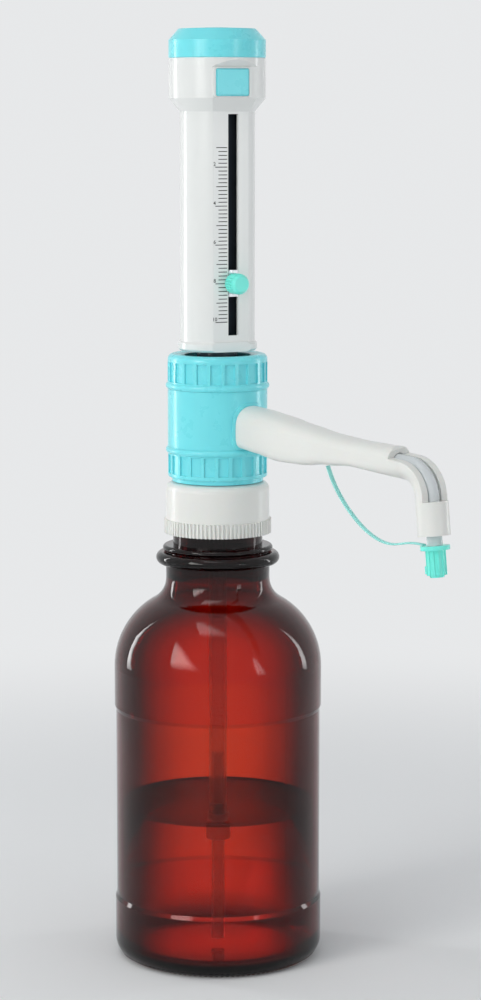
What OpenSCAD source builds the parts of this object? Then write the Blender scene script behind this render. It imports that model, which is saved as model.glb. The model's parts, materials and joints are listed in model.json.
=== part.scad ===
// Bottle top dispenser on a one litre amber bottle.
// Millimetres, +Z up. The origin is the middle of the bottle's base, and the
// discharge arm points along +X. The volume scale looks along scale_dir.

/* [Bottle] */
// Diameter of the bottle's body
bottle_d = 101; // [85:1:125]
// Height of the bottle, from its base to its lip
bottle_h = 228; // [200:1:280]
// Thickness of the glass
glass_wall = 3; // [2:0.5:4]
// Thickness of the bottle's floor
floor_t = 5; // [4:0.5:8]
// Diameter of the bottle's neck, under its beads
neck_d = 50.4; // [48:0.2:54]
// Diameter of the bottle's finish, under its thread
finish_d = 43.4; // [40:0.2:44]
// Diameter of the bottle's mouth
mouth_d = 32; // [28:0.5:36]
// Radius of the bottle's shoulder
shoulder_r = 38; // [26:1:40]
// Radius of the hollow curve from the shoulder to the neck
neck_fillet_r = 12; // [8:1:16]
// Depth of the flat panel for a label
panel_depth = 0.7; // [0.3:0.1:1.5]

/* [Bottle adapter] */
// Height of the adapter
adapter_h = 25; // [22:0.5:32]
// Diameter of the adapter
adapter_d = 50; // [49:0.5:56]
// Thickness of the adapter's top plate
adapter_plate_t = 4.6; // [3:0.2:6]
// Height of the grip at the adapter's lower edge
grip_h = 6.8; // [4:0.2:10]
// Number of flutes in that grip
grip_flutes = 80; // [40:1:90]
// Thickness of the sealing ring on the bottle's lip
seal_t = 2; // [1:0.5:3]

/* [Valve block] */
// Diameter of the valve block
block_d = 48; // [44:0.5:56]
// Height of the smooth middle of the block
housing_h = 27.7; // [24:0.1:36]
// Height of each union nut
nut_h = 16.9; // [14:0.1:20]
// Number of ribs round each union nut
nut_ribs = 22; // [12:1:28]
// Diameter of the swivel journal
journal_d = 30; // [24:0.5:31]

/* [Dosing] */
// Volume at full stroke, in millilitres
max_volume = 10; // [5:1:12]
// Volume that the slider is set to, in millilitres
set_volume = 8; // [1:0.2:10]
// Bore of the dosing cylinder
bore_d = 11.8; // [9.8:0.1:14]
// Thickness of the dosing cylinder's wall
cylinder_wall = 2.1; // [1:0.1:2.5]
// Length of the piston
piston_h = 12; // [8:0.5:16]
// Diameter of the piston rod
rod_d = 6; // [4:0.5:7]

/* [Dosing sleeve] */
// Diameter of the sleeve
sleeve_d = 36; // [35:0.5:44]
// Thickness of the sleeve's wall
sleeve_wall = 2; // [1.5:0.1:3]
// Distance of the scale's flat face from the sleeve's axis
face_dist = 15.5; // [15:0.1:17]
// Direction of the scale's face, in degrees from the arm
scale_dir = -17; // [-180:1:180]
// Width of the slider's slot
slot_w = 5.2; // [4:0.1:6]
// Distance of the slot from the middle of the scale's face
slot_off = 1.2; // [0:0.1:2]
// Diameter of the head and of the top cap
head_d = 46.2; // [44:0.2:54]
// Height of the white head above its chamfer
head_h = 18.9; // [17:0.1:26]
// Height of the top cap
cap_h = 14.4; // [11:0.1:20]

/* [Volume slider] */
// Height of the slider
slider_h = 12.6; // [9:0.1:16]
// Diameter of the clamping knob
knob_d = 9.9; // [8:0.1:13]
// Length of the clamping knob
knob_h = 9.2; // [8:0.1:14]
// Diameter of the clamping screw
screw_d = 3.6; // [3:0.1:4]

/* [Discharge arm] */
// Length of the arm, from the block's wall to the bend
arm_len = 108.2; // [95:0.5:140]
// Radius of the bend, at its middle
bend_r = 15; // [12:0.5:20]
// Diameter of the nozzle
nozzle_d = 14.8; // [13:0.1:18]
// Length of the straight nozzle
nozzle_len = 17.7; // [14:0.1:24]
// Outer diameter of the discharge tube
tube_d = 7; // [5:0.1:8]
// Inner diameter of the discharge tube
tube_bore = 4; // [2:0.1:4.4]
// Length of the discharge tube below the nozzle
tip_len = 14.5; // [10:0.5:20]

/* [Filling tube] */
// Outer diameter of the upper tube
fill_d = 9; // [8:0.1:10]
// Wall of the upper tube
fill_wall = 1.4; // [0.8:0.1:1.5]
// Height of the upper tube's lower end above the bottle's base
fill_end_z = 57; // [40:1:90]
// Height of the lower tube's end above the bottle's floor
foot_gap = 3; // [2:0.5:10]

/* [Hidden] */

$fn = 96;
e = 0.01;           // overshoot of a cutter past a face
slip = 0.1;         // radial gap of a running or plug fit
gap = 0.3;          // gap between pieces that pass each other

// Heights up the stack. The lip carries the seal, the seal the adapter, and so on.
lip_z = bottle_h;
plate_z = lip_z + seal_t;
adapter_top_z = plate_z + adapter_plate_t;
adapter_z = adapter_top_z - adapter_h;
block_z = adapter_top_z + gap;
housing_z = block_z + nut_h;
upper_nut_z = housing_z + housing_h;
block_top_z = upper_nut_z + nut_h;
sleeve_z = block_top_z + 1.7;

// The bottle's finish, measured down from the lip.
small_bead_d = 53.4;
small_bead_h = 3;
small_bead_z = lip_z - 27.3;
big_bead_d = 60;
big_bead_h = 6;
big_bead_z = small_bead_z - big_bead_h - 0.3;
fillet_z = big_bead_z - 7;
finish_z = small_bead_z + small_bead_h;
mouth_z = big_bead_z + 3;
heel_r = 8;
punt_r = bottle_d/2 - heel_r - 3;
punt_h = 2.4;
panel_margin = 29;

// The shoulder's arc and the neck's hollow curve touch each other.
shoulder_c = bottle_d/2 - shoulder_r;
fillet_c = neck_d/2 + neck_fillet_r;
shoulder_z = fillet_z - sqrt(pow(shoulder_r + neck_fillet_r, 2) - pow(fillet_c - shoulder_c, 2));

// The valve block.
bead_h = 3.3;
bead_out = 1;
flute_part = 0.72;  // share of the nut's edge that the flutes take
lower_nut_turn = 14.3;
upper_nut_turn = 5.5;
crown_r = 2.6;
crown_dish = 0.7;
crown_dish_d = block_d - 2*crown_r - 1.8;
boss_out = 0.6;
boss_w = 1.5;
nut_step_h = 2.1;
nut_step_d = block_d - 4;
housing_wall = 2.2;
skirt_d = block_d - 4.6;
core_d = skirt_d - 2*housing_wall - 2*slip;
union_t = 3.6;
socket_h = 6;
core_top_z = block_top_z - union_t - 3;
cylinder_z = core_top_z - socket_h;
seal_ring_h = 1.4;
flange_d = journal_d + 3;
flange_t = 1.7;
inlet_boss_d = 15;
ball_d = 6;
ball_lift = 1.5;
ball_chamber_d = ball_d + 1.6;
channel_d = 4;
seat_z = lip_z - 8;
seat_cone_r = 2.6;
// The ball rests in the seat's cone, which slopes at 45 degrees.
inlet_ball_z = seat_z - 1 - seat_cone_r + ball_d/sqrt(2) + 0.05;
core_foot_z = seat_z - 6;
nipple_len = 10;

// Piston, cylinder and the guide round them.
ml = 1000/(PI*pow(bore_d/2, 2));
stroke = max_volume*ml;
cylinder_d = bore_d + 2*cylinder_wall;
piston_z = cylinder_z + seal_ring_h + 1;
cylinder_h = stroke + piston_h + 8;
guide_id = cylinder_d + 2*gap;
guide_d = guide_id + 3.4;
guide_flange_t = 3;
crown_bore_d = guide_d + 12;

// The sleeve's slot holds the slider over the whole stroke.
slot_z = sleeve_z + 7.9;
slot_clear = 0.15;
slot_h = stroke + slider_h + 2*slot_clear;
slot_top_z = slot_z + slot_h;
slider_z = slot_top_z - slot_clear - slider_h/2 - set_volume*ml;
stop_z = slot_top_z;
stop_t = 3;
stop_d = guide_d + 5;
collar_h = 4.7;
collar_out = 1.05;
collar_face = face_dist + 0.7;
neck_gap = 1.3;
head_slope_h = 6.2;
head_z = slot_top_z + neck_gap;
head_round_z = head_z + head_slope_h;
cap_z = head_round_z + head_h;
cap_top_z = cap_z + cap_h;

// The flat pad on the head, with a raised frame round the badge's seat.
pad_half_w = 11.5;
pad_dist = sqrt(pow(head_d/2, 2) - pow(pad_half_w, 2));
pad_h = 14.6;
frame_w = 20;
frame_h = 14.2;
frame_r = 1.6;
frame_out = 0.7;
badge_w = 17;
badge_h = 12.8;
badge_r = 0.9;
badge_seat = 0.6;
badge_off = -1.5;
badge_z = head_round_z + 0.9;
web_t = 4;
part_line = 0.35;   // groove where the cap meets the head
cap_recess_h = 6;
cap_recess_d = head_d - 8;
web_z = cap_z - cap_recess_h - web_t;
nut_t = 6;

// The slider and its screw, measured out from the sleeve's axis.
inner_face = face_dist - sleeve_wall;
slider_in = guide_d/2 + 0.4;
slider_w = 9;
knob_in = face_dist + gap;
knob_flutes = 24;

// The arm's own frame starts at its root, on the block's wall.
arm_root_r = block_d/2 - 2;
arm_z = housing_z + 10.8;
arm_tilt = 3.92;
bend_angle = 79.6;
tube_hole_d = tube_d + 0.6;
cartridge_d = 12;
cartridge_in = -7;
cartridge_out = 16;
out_ball_d = 5;
out_lift = 1.5;
out_chamber_d = 6;
// The ball closes the hole at the chamber's inner end.
out_ball_x = -out_ball_d/2 + sqrt(pow(out_ball_d/2, 2) - pow((channel_d - 1)/2, 2)) + 0.05;
out_ledge = 8;
spring_wire = 0.6;
spring_turns = 3;

nozzle_r = nozzle_d/2 + 0.06;

// Outline of the arm: distance from its root, top, bottom, half its width, and how
// square its top and its foot are (2 is round).
ARM = [[0, 10.4, 9.8, 9, 2.4, 5], [12, 10.3, 10.5, 9, 2.4, 5], [27, 9.3, 12, 8.9, 2.4, 5],
    [43, 7.6, 11.1, 8.5, 2.4, 5], [60, 6.2, 8.4, 8, 2.4, 4.5], [76, 5.9, 6.6, 7.6, 2.4, 4],
    [arm_len - 13, 6.5, 7.1, 7.4, 2.2, 3], [arm_len, nozzle_r, nozzle_r, nozzle_r, 2, 2]];
arm_steps = 20;
arm_sides = 36;
channel_start = arm_len - 6.7;
channel_depth = 2.4;
channel_turn = 8;   // how far the channel is turned towards the scale's side
lap = 0.4;          // how far the nozzle's parts reach back into the bend
lap_step = 0.05;    // how much wider they are there

// The nozzle's cap, measured along the nozzle from the end of the bend.
cap_start = nozzle_len + 4.5;
cap_flange_d = 13.4;
cap_flange_t = 2;
cap_body_d = tube_d + 1.6;
cap_len = 14.3;
cap_ribs = 12;

// The filling tube.
fill_id = fill_d - 2*fill_wall;
lower_d = fill_id - 2*slip;
lower_wall = 1;
lower_overlap = 43;
coupling_h = 8;
coupling_d = fill_d + 1.8;

// Route of the cap's strap in the arm's plane, as parts of the way across and down from
// its root under the arm to the cap's flange.
STRAP = [[0, -0], [0.022, 0.095], [0.051, 0.206], [0.086, 0.318], [0.128, 0.429],
    [0.174, 0.537], [0.227, 0.645], [0.283, 0.743], [0.335, 0.824], [0.391, 0.899],
    [0.447, 0.959], [0.502, 1.007], [0.556, 1.041], [0.607, 1.061], [0.66, 1.068],
    [0.711, 1.061], [0.764, 1.041], [0.816, 1.02], [0.869, 1.003], [0.92, 0.997],
    [0.962, 0.997], [1, 1]];
nozzle_tilt = arm_tilt + bend_angle;
bend_end = [arm_root_r, arm_z] + (arm_len + bend_r*sin(bend_angle))*[cos(arm_tilt), -sin(arm_tilt)]
    - bend_r*(1 - cos(bend_angle))*[sin(arm_tilt), cos(arm_tilt)];
strap_root = [arm_root_r + 55, arm_z - 13.5];
strap_end = bend_end + (cap_start - 0.2)*[cos(nozzle_tilt), -sin(nozzle_tilt)]
    - (cap_flange_d/2 + 0.1)*[sin(nozzle_tilt), cos(nozzle_tilt)];
strap_w = 2.5;
strap_t = 1;

// ---------------------------------------------------------------- helpers

// A tube along +Z.
module tube(od, id, h) {
    difference() {
        cylinder(d = od, h = h);
        translate([0, 0, -e]) cylinder(d = id, h = h + 2*e);
    }
}

// A rectangle from the origin with round corners.
module rounded_rect(w, h, r) {
    translate([r, 0]) square([w - 2*r, h]);
    translate([0, r]) square([w, h - 2*r]);
    for (x = [r, w - r], y = [r, h - r]) translate([x, y]) circle(r);
}

// Turns its children so that their +X looks out of the scale's face.
module scale_frame() {
    rotate([0, 0, scale_dir]) children();
}

// +X runs along the arm, from its root on the block's wall.
module arm_frame() {
    translate([arm_root_r, 0, arm_z]) rotate([0, arm_tilt, 0]) children();
}

// In the arm's frame: +Z runs down the nozzle from the end of the bend, and +X looks
// back at the bottle.
module nozzle_frame() {
    translate([arm_len, 0, -bend_r]) rotate([0, bend_angle, 0])
        translate([0, 0, bend_r]) rotate([0, 90, 0]) children();
}

// +Z runs along the arm from its root.
module along_arm() {
    arm_frame() rotate([0, 90, 0]) children();
}

// In the arm's frame: sweeps the 2D child round the bend. The child's x is measured out
// from the bend's centre.
module bend() {
    translate([arm_len, 0, -bend_r]) rotate([-90, -90, 0])
        rotate_extrude(angle = bend_angle) children();
}

// ----------------------------------------------------------------- bottle

// Half outline of the bottle's body and neck, drawn in by the amount w.
module bottle_half(w) {
    rb = bottle_d/2 - w;
    rn = neck_d/2 - w;
    rs = shoulder_r - w;
    rf = neck_fillet_r + w;
    rh = heel_r;
    tangent = [shoulder_c + rs*(fillet_c - shoulder_c)/(shoulder_r + neck_fillet_r),
        shoulder_z + rs*(fillet_z - shoulder_z)/(shoulder_r + neck_fillet_r)];
    z0 = w > 0 ? floor_t : 0;
    translate([0, z0 + rh]) square([rb, shoulder_z - z0 - rh]);
    translate([0, z0]) square([rb - rh, rh + e]);
    translate([rb - rh, z0 + rh]) circle(rh);
    intersection() {
        translate([shoulder_c, shoulder_z]) circle(rs);
        translate([0, shoulder_z - e]) square([rb, rs]);
    }
    difference() {
        polygon([[0, tangent[1]], tangent, [fillet_c, fillet_z], [rn, fillet_z], [0, fillet_z]]);
        translate([fillet_c, fillet_z]) circle(rf);
    }
    translate([0, shoulder_z]) square([shoulder_c, tangent[1] - shoulder_z + e]);
}

// Half outline of a bead with a round edge.
module bead_half(d, h, z) {
    translate([0, z]) square([d/2 - h/2, h]);
    translate([d/2 - h/2, z + h/2]) circle(h/2);
}

module bottle() {
    lip_round = 1.5;
    color([0.42, 0.12, 0.06, 0.8]) rotate_extrude() difference() {
        union() {
            bottle_half(0);
            translate([0, fillet_z - e]) square([neck_d/2, small_bead_z - fillet_z + 1]);
            bead_half(big_bead_d, big_bead_h, big_bead_z);
            bead_half(small_bead_d, small_bead_h, small_bead_z);
            translate([0, small_bead_z]) square([finish_d/2, lip_z - small_bead_z - lip_round]);
            translate([0, small_bead_z]) square([finish_d/2 - lip_round, lip_z - small_bead_z]);
            translate([finish_d/2 - lip_round, lip_z - lip_round]) circle(lip_round);
        }
        bottle_half(glass_wall);
        polygon([[0, fillet_z - e], [neck_d/2 - glass_wall, fillet_z - e], [mouth_d/2, mouth_z],
            [mouth_d/2, lip_z + 1], [0, lip_z + 1]]);
        polygon([[0, -1], [punt_r + 1, -1], [punt_r, 0], [punt_r - 8, punt_h], [0, punt_h]]);
        polygon([[bottle_d/2 + 1, panel_margin], [bottle_d/2, panel_margin],
            [bottle_d/2 - panel_depth, panel_margin + 2],
            [bottle_d/2 - panel_depth, shoulder_z - 21], [bottle_d/2, shoulder_z - 19],
            [bottle_d/2 + 1, shoulder_z - 19]]);
        translate([-bottle_d, -1]) square([bottle_d, bottle_h + 2]);
    }
}

// ---------------------------------------------------------------- adapter

module neck_seal() {
    color("dimgray") translate([0, 0, lip_z]) tube(finish_d, flange_d + 2*gap, seal_t);
}

// One ring of flutes, as the outline of the grip.
module grip_outline() {
    r_out = adapter_d/2 + 0.9;
    r_in = adapter_d/2 - 0.1;
    step = 360/grip_flutes;
    polygon([for (i = [0 : grip_flutes - 1], p = [[-0.3, r_out], [0.12, r_out], [0.2, r_in],
        [0.62, r_in]]) p[1]*[cos((i + p[0])*step), sin((i + p[0])*step)]]);
}

module bottle_adapter() {
    edge_r = 4;
    thread_id = finish_d + 2.2;
    color([0.93, 0.94, 0.9]) difference() {
        union() {
            rotate_extrude() {
                translate([0, adapter_z]) square([adapter_d/2, adapter_h - edge_r]);
                translate([0, adapter_z]) square([adapter_d/2 - edge_r, adapter_h]);
                translate([adapter_d/2 - edge_r, adapter_top_z - edge_r]) circle(edge_r);
            }
            translate([0, 0, adapter_z]) linear_extrude(grip_h) grip_outline();
        }
        translate([0, 0, adapter_z - 1]) cylinder(d = thread_id, h = plate_z - adapter_z + 1);
        translate([0, 0, plate_z - 1]) cylinder(d = journal_d, h = adapter_plate_t + 2);
    }
}

// ------------------------------------------------------------ valve block

// A union nut with a bead at z = 0 and shallow flutes up to its far end.
module union_nut_body(step_h, rim_r) {
    flute_w = flute_part*PI*block_d/nut_ribs;
    difference() {
        rotate_extrude() {
            square([block_d/2, nut_h - step_h - rim_r]);
            square([block_d/2 - rim_r, nut_h - step_h]);
            translate([block_d/2 - rim_r, nut_h - step_h - rim_r]) circle(rim_r);
            if (step_h > 0) square([nut_step_d/2, nut_h]);
            bead_half(block_d + 2*bead_out, bead_h, 0);
        }
        for (i = [0 : nut_ribs - 1]) rotate([0, 0, i*360/nut_ribs])
            translate([block_d/2 - 0.9, -flute_w/2, bead_h + 0.4])
                cube([3, flute_w, nut_h - step_h - rim_r - bead_h - 1.6]);
    }
}

module lower_union_nut() {
    color([0.39, 0.76, 0.92]) difference() {
        translate([0, 0, housing_z]) rotate([180, 0, lower_nut_turn]) union_nut_body(nut_step_h, 0.8);
        translate([0, 0, block_z + union_t]) cylinder(d = skirt_d + 2*slip, h = nut_h);
        translate([0, 0, block_z - 1]) cylinder(d = journal_d + 2*slip, h = nut_h);
    }
}

module upper_union_nut() {
    color([0.39, 0.76, 0.92]) difference() {
        translate([0, 0, upper_nut_z]) rotate([0, 0, upper_nut_turn]) union_nut_body(0, crown_r);
        translate([0, 0, upper_nut_z - 1]) cylinder(d = skirt_d + 2*slip, h = nut_h - union_t + 1);
        translate([0, 0, upper_nut_z]) cylinder(d = crown_bore_d, h = nut_h + 1);
        translate([0, 0, block_top_z - crown_dish]) cylinder(d1 = crown_bore_d,
            d2 = 2*crown_dish_d - crown_bore_d, h = 2*crown_dish);
    }
}

// The raised rim round the arm's root.
module root_boss() {
    edge_clear = 0.4;
    grow = 1.12;
    intersection() {
        along_arm() linear_extrude(6)
            polygon([for (p = arm_ring(0)) [-p[2]*grow, p[1] + sign(p[1])*boss_w]]);
        translate([0, 0, housing_z + edge_clear])
            cylinder(d = block_d + 2*boss_out, h = housing_h - 2*edge_clear);
    }
}

module valve_housing() {
    color([0.39, 0.76, 0.92]) difference() {
        union() {
            translate([0, 0, housing_z]) cylinder(d = block_d, h = housing_h);
            root_boss();
            translate([0, 0, block_z + union_t + 1])
                cylinder(d = skirt_d, h = core_top_z - block_z - union_t - 1);
        }
        translate([0, 0, block_z]) cylinder(d = core_d + 2*slip, h = block_top_z - block_z);
        along_arm() translate([0, 0, cartridge_in])
            cylinder(d = cartridge_d + 2*slip, h = block_d/2);
    }
}

module valve_core() {
    core_z = block_z + union_t + 1;
    color([0.95, 0.95, 0.93]) difference() {
        union() {
            translate([0, 0, core_foot_z - nipple_len])
                cylinder(d = fill_id - 2*slip, h = nipple_len + 1);
            translate([0, 0, core_foot_z]) cylinder(d = inlet_boss_d, h = lip_z - core_foot_z + 1);
            translate([0, 0, plate_z - flange_t - 0.15]) cylinder(d = flange_d, h = flange_t);
            translate([0, 0, plate_z - 0.2])
                cylinder(d = journal_d - 2*slip, h = core_z - plate_z + 0.3);
            translate([0, 0, core_z]) cylinder(d = core_d, h = core_top_z - core_z);
        }
        // The way in: nipple, seat, ball chamber and the channel to the cylinder.
        translate([0, 0, core_foot_z - nipple_len - 1]) cylinder(d = channel_d, h = 60);
        translate([0, 0, core_foot_z + 1])
            cylinder(d = inlet_boss_d - 5, h = seat_z - core_foot_z + 3);
        translate([0, 0, seat_z]) cylinder(d = ball_chamber_d, h = ball_d + ball_lift + 1);
        translate([0, 0, seat_z + 1]) cylinder(d = channel_d, h = cylinder_z - seat_z);
        translate([0, 0, cylinder_z]) cylinder(d = cylinder_d + 2*slip, h = socket_h + 1);
        // The way out, towards the arm.
        along_arm() translate([0, 0, cartridge_in - slip])
            cylinder(d = cartridge_d + 2*slip, h = 30);
        along_arm() translate([0, 0, -arm_root_r]) cylinder(d = channel_d - 1, h = arm_root_r);
    }
}

// The seat under the inlet ball, pressed up into the core.
module inlet_seat() {
    color("white") difference() {
        translate([0, 0, core_foot_z + 1]) cylinder(d = inlet_boss_d - 5 - 2*slip,
            h = seat_z - core_foot_z + 2.9);
        translate([0, 0, core_foot_z]) cylinder(d = channel_d - 0.4, h = 20);
        translate([0, 0, seat_z - 1]) cylinder(d = ball_chamber_d, h = 10);
        translate([0, 0, seat_z - 1 - 1.6]) cylinder(r1 = seat_cone_r - 1.6, r2 = seat_cone_r, h = 1.6);
    }
}

module inlet_ball() {
    color("gainsboro") translate([0, 0, inlet_ball_z]) sphere(d = ball_d);
}

// ---------------------------------------------------------- outlet valve

module outlet_valve() {
    color([0.9, 0.9, 0.88]) along_arm() difference() {
        translate([0, 0, cartridge_in]) cylinder(d = cartridge_d, h = cartridge_out - cartridge_in);
        translate([0, 0, cartridge_in - 1]) cylinder(d = channel_d - 1, h = 30);
        translate([0, 0, -out_ball_d/2]) cylinder(d = out_chamber_d, h = out_ledge + out_ball_d/2);
        translate([0, 0, out_ledge + 1]) cylinder(d = tube_d + 2*slip, h = 20);
    }
}

module outlet_ball() {
    color("gainsboro") along_arm() translate([0, 0, out_ball_x]) sphere(d = out_ball_d);
}

// One ring of a tube swept along points: at, the direction and two half sizes.
function ring(at, across, up, a, b, sides) =
    [for (k = [0 : sides - 1]) at + a*cos(k*360/sides)*across + b*sin(k*360/sides)*up];

// Joins rings of the same number of points into one closed solid.
module sweep(rings) {
    sides = len(rings[0]);
    last = len(rings) - 1;
    polyhedron(points = [for (r = rings, p = r) p], faces = concat(
        [[for (k = [sides - 1 : -1 : 0]) k]],
        [for (j = [0 : last - 1], k = [0 : sides - 1]) let (a = j*sides, b = (j + 1)*sides)
            [a + k, a + (k + 1)%sides, b + (k + 1)%sides, b + k]],
        [[for (k = [0 : sides - 1]) last*sides + k]]));
}

module outlet_spring() {
    start = out_ball_x + out_ball_d/2 + spring_wire/2 + 0.05;
    coil_r = out_chamber_d/2 - spring_wire/2 - 0.25;
    rise = out_ledge - start - spring_wire/2 - 0.05;
    steps = spring_turns*14;
    color("silver") along_arm() sweep([for (i = [0 : steps])
        let (a = i*360*spring_turns/steps, out = [cos(a), sin(a), 0])
        ring([0, 0, start + rise*i/steps] + coil_r*out, out, [0, 0, 1],
            spring_wire/2, spring_wire/2, 6)]);
}

// ------------------------------------------------------ cylinder and guide

module glass_cylinder() {
    color([0.85, 0.93, 0.96, 0.5]) translate([0, 0, cylinder_z + seal_ring_h])
        tube(cylinder_d, bore_d, cylinder_h);
}

module cylinder_seal() {
    color("dimgray") translate([0, 0, cylinder_z]) tube(cylinder_d, bore_d - 1, seal_ring_h);
}

module guide_tube() {
    color([0.16, 0.22, 0.42]) translate([0, 0, core_top_z]) difference() {
        union() {
            cylinder(d = core_d + 2, h = guide_flange_t - slip);
            cylinder(d = guide_d, h = stop_z + stop_t - core_top_z);
        }
        translate([0, 0, -1]) cylinder(d = guide_id, h = 200 + stroke);
    }
}

// The slider's inner plate comes up under this ring at the end of each stroke.
module stop_ring() {
    color([0.16, 0.22, 0.42]) translate([0, 0, stop_z]) tube(stop_d, guide_d + slip, stop_t);
}

// ----------------------------------------------------------------- piston

module piston() {
    groove = 1.2;
    color("white") difference() {
        translate([0, 0, piston_z]) cylinder(d = bore_d - 2*slip, h = piston_h);
        translate([0, 0, piston_z + 2]) tube(bore_d + 1, bore_d - 2*groove, 2);
        translate([0, 0, piston_z + 4]) cylinder(d = rod_d + 0.1, h = piston_h);
    }
}

module piston_seal() {
    groove = 1.2;
    color("dimgray") translate([0, 0, piston_z + 2.05])
        tube(bore_d - 0.04, bore_d - 2*groove + 0.1, 1.9);
}

module piston_rod() {
    color("silver") translate([0, 0, piston_z + 4.05])
        cylinder(d = rod_d, h = web_z + web_t + nut_t + 2 - piston_z - 4);
}

module calibration_nut() {
    nut_d = rod_d + 8;
    color("goldenrod") translate([0, 0, web_z + web_t + 0.1]) difference() {
        cylinder(d = nut_d, h = nut_t, $fn = 6);
        translate([0, 0, -1]) cylinder(d = rod_d + 0.1, h = nut_t + 2, $fn = 96);
    }
}

// ---------------------------------------------------------- dosing sleeve

// A round outline with one flat side.
module flat_sided(d, dist) {
    intersection() {
        circle(d = d);
        translate([-d, -d]) square([d + dist, 2*d]);
    }
}

// What is cut off the head in front of its flat pad: sloping as the chamfer does.
module pad_cut() {
    far = head_d;
    rotate([90, 0, 0]) translate([0, 0, -head_d]) linear_extrude(2*head_d) polygon([
        [collar_face, sleeve_z - 1], [collar_face, sleeve_z + collar_h],
        [face_dist, sleeve_z + collar_h], [face_dist, head_z], [pad_dist, head_round_z],
        [pad_dist, head_round_z + pad_h], [far, head_round_z + pad_h + far - pad_dist],
        [far, sleeve_z - 1]]);
}

module dosing_sleeve() {
    collar_r = sleeve_d/2 + collar_out;
    color([0.94, 0.95, 0.93]) scale_frame() difference() {
        union() {
            difference() {
                union() {
                    translate([0, 0, sleeve_z]) cylinder(d = sleeve_d, h = head_z - sleeve_z + e);
                    rotate_extrude() polygon([[0, sleeve_z], [collar_r - 1, sleeve_z],
                        [collar_r, sleeve_z + 1], [collar_r, sleeve_z + collar_h - 1],
                        [sleeve_d/2, sleeve_z + collar_h], [0, sleeve_z + collar_h]]);
                    rotate_extrude() polygon([[0, head_z], [sleeve_d/2, head_z],
                        [head_d/2, head_round_z], [head_d/2, cap_z - part_line],
                        [head_d/2 - part_line, cap_z], [0, cap_z]]);
                }
                pad_cut();
            }
            translate([pad_dist - 1, badge_off - frame_w/2, badge_z - (frame_h - badge_h)/2])
                rotate([90, 0, 90]) linear_extrude(frame_out + 1)
                    rounded_rect(frame_w, frame_h, frame_r);
        }
        translate([0, 0, sleeve_z - 1]) linear_extrude(web_z - sleeve_z + 1)
            flat_sided(sleeve_d - 2*sleeve_wall, inner_face);
        translate([0, 0, web_z - 1]) cylinder(d = rod_d + 2*slip, h = web_t + 2);
        translate([0, 0, cap_z - cap_recess_h]) cylinder(d = cap_recess_d, h = cap_recess_h + 1);
        translate([inner_face - 3, slot_off - slot_w/2, slot_z]) cube([10, slot_w, slot_h]);
        // Seat for the badge.
        translate([pad_dist - badge_seat, badge_off - badge_w/2 - slip, badge_z - slip])
            rotate([90, 0, 90]) linear_extrude(5)
                rounded_rect(badge_w + 2*slip, badge_h + 2*slip, badge_r + slip);
    }
}

module front_badge() {
    step = 0.5;
    color([0.39, 0.76, 0.92]) scale_frame()
        translate([pad_dist - badge_seat + 0.02, badge_off - badge_w/2, badge_z])
            rotate([90, 0, 90]) {
                linear_extrude(badge_seat + frame_out - 0.2) rounded_rect(badge_w, badge_h, badge_r);
                translate([step, step]) linear_extrude(badge_seat + frame_out + 0.4)
                    rounded_rect(badge_w - 2*step, badge_h - 2*step, badge_r - step/2);
            }
}

module top_cap() {
    chamfer_h = 5.3;
    chamfer_w = 4.7;
    wall = 2.2;
    crown = 0.8;
    r = head_d/2;
    spigot_h = 4;
    inner_r = cap_recess_d/2 - wall;
    color([0.39, 0.76, 0.92]) rotate_extrude() difference() {
        union() {
            polygon([[0, cap_z], [r - part_line, cap_z], [r, cap_z + part_line],
                [r, cap_top_z - chamfer_h - crown],
                [r - chamfer_w, cap_top_z - crown], [0, cap_top_z]]);
            translate([0, cap_z - spigot_h]) square([cap_recess_d/2 - slip, spigot_h + e]);
        }
        polygon([[0, cap_z - spigot_h - 1], [inner_r, cap_z - spigot_h - 1],
            [inner_r, cap_top_z - chamfer_h - crown], [inner_r - 3, cap_top_z - crown - wall],
            [0, cap_top_z - crown - wall]]);
    }
}

// ---------------------------------------------------------- volume slider

module volume_slider() {
    color([0.6, 0.62, 0.65]) scale_frame() difference() {
        translate([0, 0, slider_z - slider_h/2]) linear_extrude(slider_h) {
            translate([slider_in, slot_off - slider_w/2])
                square([inner_face - gap - slider_in, slider_w]);
            translate([slider_in, slot_off - slot_w/2 + 0.2])
                square([face_dist - slider_in, slot_w - 0.4]);
        }
        translate([0, slot_off, slider_z]) rotate([0, 90, 0]) cylinder(d = screw_d + 0.1, h = 30);
    }
}

module clamp_screw() {
    color("silver") scale_frame() translate([slider_in + 0.3, slot_off, slider_z]) rotate([0, 90, 0])
        cylinder(d = screw_d, h = knob_in + knob_h*0.6 - slider_in);
}

module volume_knob() {
    r = knob_d/2;
    color([0.4, 0.85, 0.83]) scale_frame() translate([knob_in, slot_off, slider_z]) rotate([0, 90, 0])
        difference() {
            intersection() {
                linear_extrude(knob_h) polygon([for (i = [0 : 2*knob_flutes - 1])
                    let (a = i*180/knob_flutes) (r - (i%2)*0.55)*[cos(a), sin(a)]]);
                rotate_extrude() polygon([[0, 0], [r - 0.6, 0], [r + 0.1, 0.7],
                    [r + 0.1, knob_h*0.75], [r - 1.5, knob_h], [0, knob_h]]);
            }
            translate([0, 0, -1]) cylinder(d = screw_d + 0.1, h = 1.4 + knob_h*0.6);
        }
}

// ---------------------------------------------------------- discharge arm

// Eases from one key section of the arm to the next.
function ease(t) = t*t*(3 - 2*t);
function arm_key(x) = [for (i = [0 : len(ARM) - 2]) if (x >= ARM[i][0] && x <= ARM[i + 1][0]) i][0];
function arm_at(x) = let (i = arm_key(x), t = ease((x - ARM[i][0])/(ARM[i + 1][0] - ARM[i][0])))
    ARM[i] + t*(ARM[i + 1] - ARM[i]);

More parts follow.
